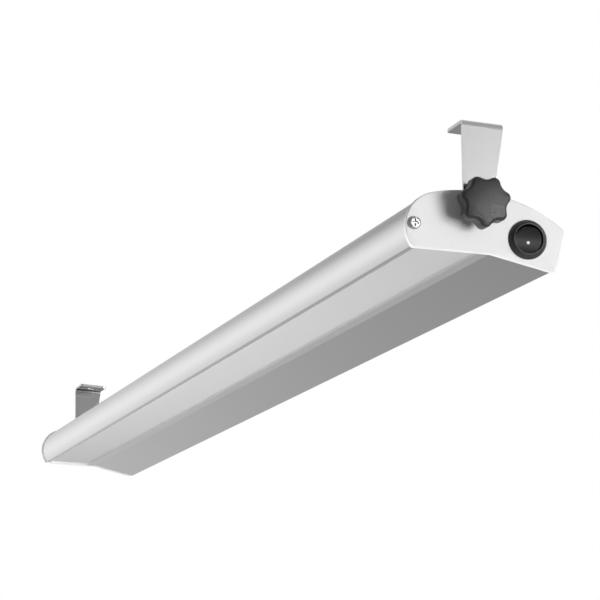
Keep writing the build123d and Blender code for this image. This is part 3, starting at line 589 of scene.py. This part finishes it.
def closed_piece(name, points):
    """A mesh from rows of points that close round, with a pole at its first and last row."""
    rows, columns, _ = points.shape
    vertices = np.concatenate([points[0, :1], points[1:-1].reshape(-1, 3), points[-1, :1]])
    row, column = np.meshgrid(np.arange(rows - 3), np.arange(columns), indexing="ij")
    here = 1 + row * columns + column
    beside = 1 + row * columns + (column + 1) % columns
    quads = np.stack([here, beside, beside + columns, here + columns], axis=-1).reshape(-1, 4)
    first = np.arange(1, columns + 1)
    after = first % columns + 1
    last = (rows - 3) * columns
    first_fan = np.stack([np.zeros_like(first), after, first], axis=-1)
    last_fan = np.stack([np.full_like(first, len(vertices) - 1), last + first, last + after], axis=-1)
    data = bpy.data.meshes.new(name)
    data.from_pydata(vertices.tolist(), [], quads.tolist() + first_fan.tolist() + last_fan.tolist())
    piece = bpy.data.objects.new(name, data)
    bpy.context.scene.collection.objects.link(piece)
    return piece


ink = Finish("white_ink")
ink_speckle = ink.noise(ink.place(), 6000.0, 2.0)
rocker_dot = closed_piece("rocker_dot", dot_surface())
rocker_dot.data.materials.append(
    ink.surface(Base_Color=ink.tone(ink_speckle, (0.80, 0.80, 0.79), (0.90, 0.90, 0.89)), Roughness=0.5)
)
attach(rocker_dot, "rocker")

# Camera: it stands beyond the lamp's switch end, below it and in front of it,
# and looks up along the body. Its place and turn come from the body's edges.
camera_place = Vector((2.1327, -0.4875, -0.4020))
view_direction = Vector((-0.95363, 0.24153, 0.1788))
camera_roll = math.radians(3.95)
lens_mm = 173.2
sensor_mm = 36.0
sight_end = 60.0
camera_data = bpy.data.cameras.new("camera")
camera_data.lens = lens_mm
camera_data.sensor_width = sensor_mm
camera_data.clip_end = sight_end
camera = bpy.data.objects.new("camera", camera_data)
turn = view_direction.to_track_quat("-Z", "Y") @ Euler((0, 0, camera_roll)).to_quaternion()
camera.matrix_world = Matrix.LocRotScale(camera_place, turn, None)
bpy.context.scene.collection.objects.link(camera)
bpy.context.scene.camera = camera
bpy.context.scene.view_settings.view_transform = "Standard"

# Floor: a plain pale plane far below the lamp, so that a view from below stays
# clear. Only the camera sees it: the room lights the lamp and is mirrored in it.
floor_z = -12.0
floor_reach = 50.0
floor_glow = 0.55
floor_corners = [(-1, -1), (1, -1), (1, 1), (-1, 1)]
floor_data = bpy.data.meshes.new("floor")
floor_data.from_pydata(
    [(x * floor_reach, y * floor_reach, floor_z) for x, y in floor_corners], [], [(0, 1, 2, 3)]
)
floor = bpy.data.objects.new("floor", floor_data)
floor.visible_diffuse = False
floor.visible_glossy = False
floor.visible_transmission = False
bpy.context.scene.collection.objects.link(floor)
pale = Finish("pale_floor")
floor_data.materials.append(
    pale.surface(
        Base_Color=(0.8, 0.8, 0.8),
        Roughness=0.9,
        Emission_Color=(1.0, 1.0, 1.0),
        Emission_Strength=floor_glow,
    )
)

# Room: white to the eye. Metal mirrors a studio that is white at the horizon,
# greyer above, below and behind, with one small bright patch near the key.
# Matt surfaces get an even, low light.
room = Finish("room", world=True)
toward_x, toward_y, toward_z = room.parts_of("Generated")


def fade(value, start, end, first=0.0, last=1.0):
    """Fades from first to last while the value goes from start to end, and is level past them."""
    return room.node(
        "ShaderNodeMapRange", None,
        {"Value": value, "From Min": start, "From Max": end, "To Min": first, "To Max": last},
    )


def white_light(strength):
    """Plain white from the room, at a strength that may change with the direction."""
    return room.node("ShaderNodeBackground", None, {"Color": (1.0, 1.0, 1.0), "Strength": strength})


# What the long sides mirror: its level from straight down at 0, past the horizon at 0.5, to
# straight up at 1, and a share of shade low behind the lamp.
studio_levels = [
    (0.0, 1.0), (0.15, 0.80), (0.24, 0.30), (0.30, 0.22), (0.345, 0.52), (0.39, 0.67), (0.4275, 0.82),
    (0.4725, 0.945), (0.52, 1.0), (0.57, 0.91), (0.615, 0.75), (0.645, 0.58), (0.67, 0.38), (0.69, 0.30),
    (0.80, 0.55), (1.0, 0.75),
]
horizon = room.node("ShaderNodeValToRGB", {"stops": studio_levels}, {"Fac": 0.5 + 0.5 * toward_z})
rear_shade = 0.39
behind = fade(toward_y, 0.0, 0.2)
low = fade(toward_z, 0.0, -0.16)
along_lamp = horizon * (1.0 - rear_shade * behind * low)

# What the switch end mirrors: dark in front and above, light behind and below, and the key.
height_share = 0.4
front_level = 0.20
rear_level = 0.88
before_cap = fade(toward_y - height_share * toward_z, -0.35, 0.40, front_level, rear_level)
ahead = fade(toward_x, -0.2, 0.3)
key_x, key_y, key_z = 0.86, 0.51, 0.02
key_edge = 0.97
key_strength = 36.0
glow = fade(key_x * toward_x + key_y * toward_y + key_z * toward_z, key_edge, 1.0)
mirrored = white_light(along_lamp + ahead * (before_cap - along_lamp) + key_strength * glow * glow)

# What matt surfaces get: more from the inlet end than from the switch end.
inlet_end_level = 0.50
switch_end_level = 0.16
even = white_light(fade(toward_x, -1.0, 0.6, inlet_end_level, switch_end_level))
white = white_light(1.0)
seen = room.node("ShaderNodeLightPath", output="Is Camera Ray")
glossy = room.node("ShaderNodeLightPath", output="Is Glossy Ray")
clear = room.node("ShaderNodeLightPath", output="Is Transmission Ray")
cast = room.node("ShaderNodeMixShader", None, {0: glossy + clear, 1: even, 2: mirrored})
shown = room.node("ShaderNodeMixShader", None, {0: seen, 1: cast, 2: white})
room.tree.links.new(shown.socket, room.output.inputs["Surface"])
bpy.context.scene.world = room.owner


# Lamps: a large soft key beyond the switch end, behind it and below, a wide fill
# under the window, and a fill for the inlet end and the back.
def softbox(name, place, aim, size, watts):
    """A flat soft lamp at a place, facing a point. Glossy surfaces mirror the room instead."""
    data = bpy.data.lights.new(name, "AREA")
    data.shape = "RECTANGLE"
    data.size, data.size_y = size
    data.energy = watts
    lamp = bpy.data.objects.new(name, data)
    bpy.context.scene.collection.objects.link(lamp)
    lamp.visible_camera = False
    lamp.visible_glossy = False
    facing = (Vector(aim) - Vector(place)).to_track_quat("-Z", "Y")
    lamp.matrix_world = Matrix.LocRotScale(Vector(place), facing, None)


switch_end = (0.6, 0.0, -0.05)
softbox("key", (2.94, 1.14, -0.36), switch_end, (1.05, 1.05), 55.5)
softbox("under_fill", (0.05, -0.8, -1.15), (0.05, -0.8, 0.0), (1.0, 0.9), 29.0)
softbox("far_fill", (-2.6, 1.6, 0.8), (-0.6, 0.0, -0.05), (1.2, 1.2), 40.0)
